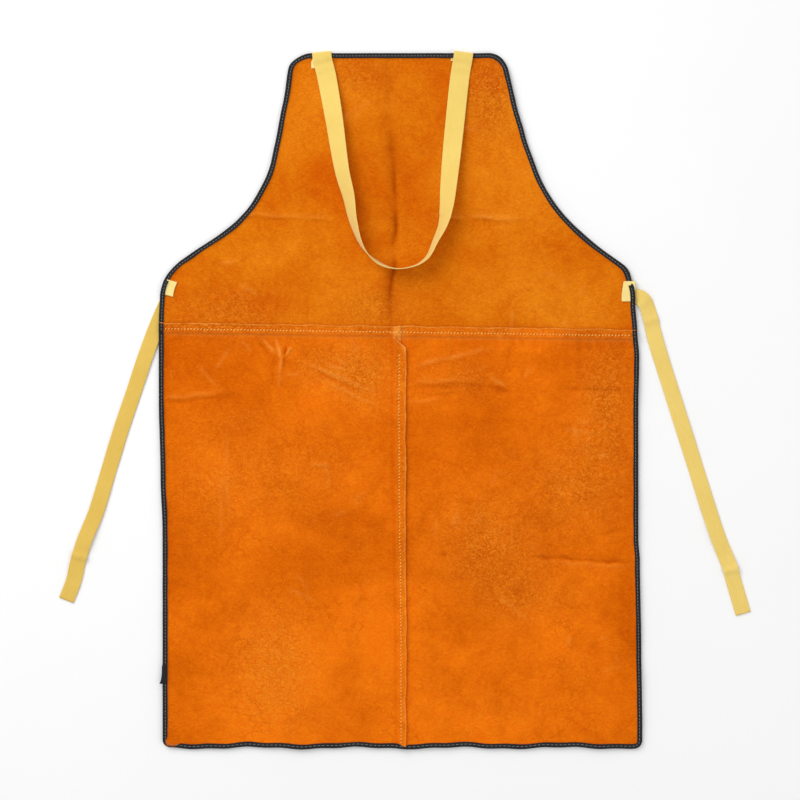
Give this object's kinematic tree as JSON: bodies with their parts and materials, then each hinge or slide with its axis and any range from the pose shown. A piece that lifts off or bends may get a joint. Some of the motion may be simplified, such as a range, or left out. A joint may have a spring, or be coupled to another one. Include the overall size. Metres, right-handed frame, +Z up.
{
  "type": "welding apron",
  "caption": "Full-length split-leather welding apron, laid flat inside face up, with dark edge binding, a webbing neck loop and webbing waist ties.",
  "frame": {"origin": "on the floor, under the middle of the leather's outline, half way from the hem to the neck edge", "axes": "+Z up out of the inside face, +Y towards the neck edge, +X to the right of the inside face"},
  "size_m": [0.9, 0.9019, 0.0267],
  "materials": {
    "bib_leather": "rough split suede, rust orange",
    "skirt_leather": "rough split suede, orange",
    "binding_tape": "matt woven tape, near black",
    "binding_thread": "matt spun thread, light grey",
    "seam_thread": "matt spun thread, pinkish off-white",
    "neck_webbing": "flat woven cotton webbing, pale yellow",
    "tie_webbing": "flat woven cotton webbing, yellow"
  },
  "bodies": {
    "apron": {"bib_panel": "bib_leather", "left_skirt_panel": "skirt_leather", "right_skirt_panel": "skirt_leather", "edge_binding": "binding_tape", "binding_stitching": "binding_thread", "waist_seam_thread": "seam_thread", "waist_topstitching": "seam_thread", "centre_seam_thread": "seam_thread", "centre_topstitching": "seam_thread", "neck_strap_left_end": "neck_webbing", "neck_strap_right_end": "neck_webbing", "left_tie_end": "tie_webbing", "right_tie_end": "tie_webbing"},
    "neck_loop": {"neck_strap": "neck_webbing"},
    "left_tie": {"left_tie": "tie_webbing"},
    "right_tie": {"right_tie": "tie_webbing"}
  },
  "joints": [
    {"name": "neck_loop_lift", "type": "hinge", "parent": "apron", "child": "neck_loop", "pos_m": [0, 0.4511, 0.005], "axis": [-1, 0, 0], "range_deg": [0, 165]},
    {"name": "left_tie_swing", "type": "hinge", "parent": "apron", "child": "left_tie", "pos_m": [-0.3116, 0.141, 0.0035], "axis": [0, 1, 0], "range_deg": [0, 170]},
    {"name": "right_tie_swing", "type": "hinge", "parent": "apron", "child": "right_tie", "pos_m": [0.3116, 0.141, 0.0035], "axis": [0, -1, 0], "range_deg": [0, 170]}
  ]
}
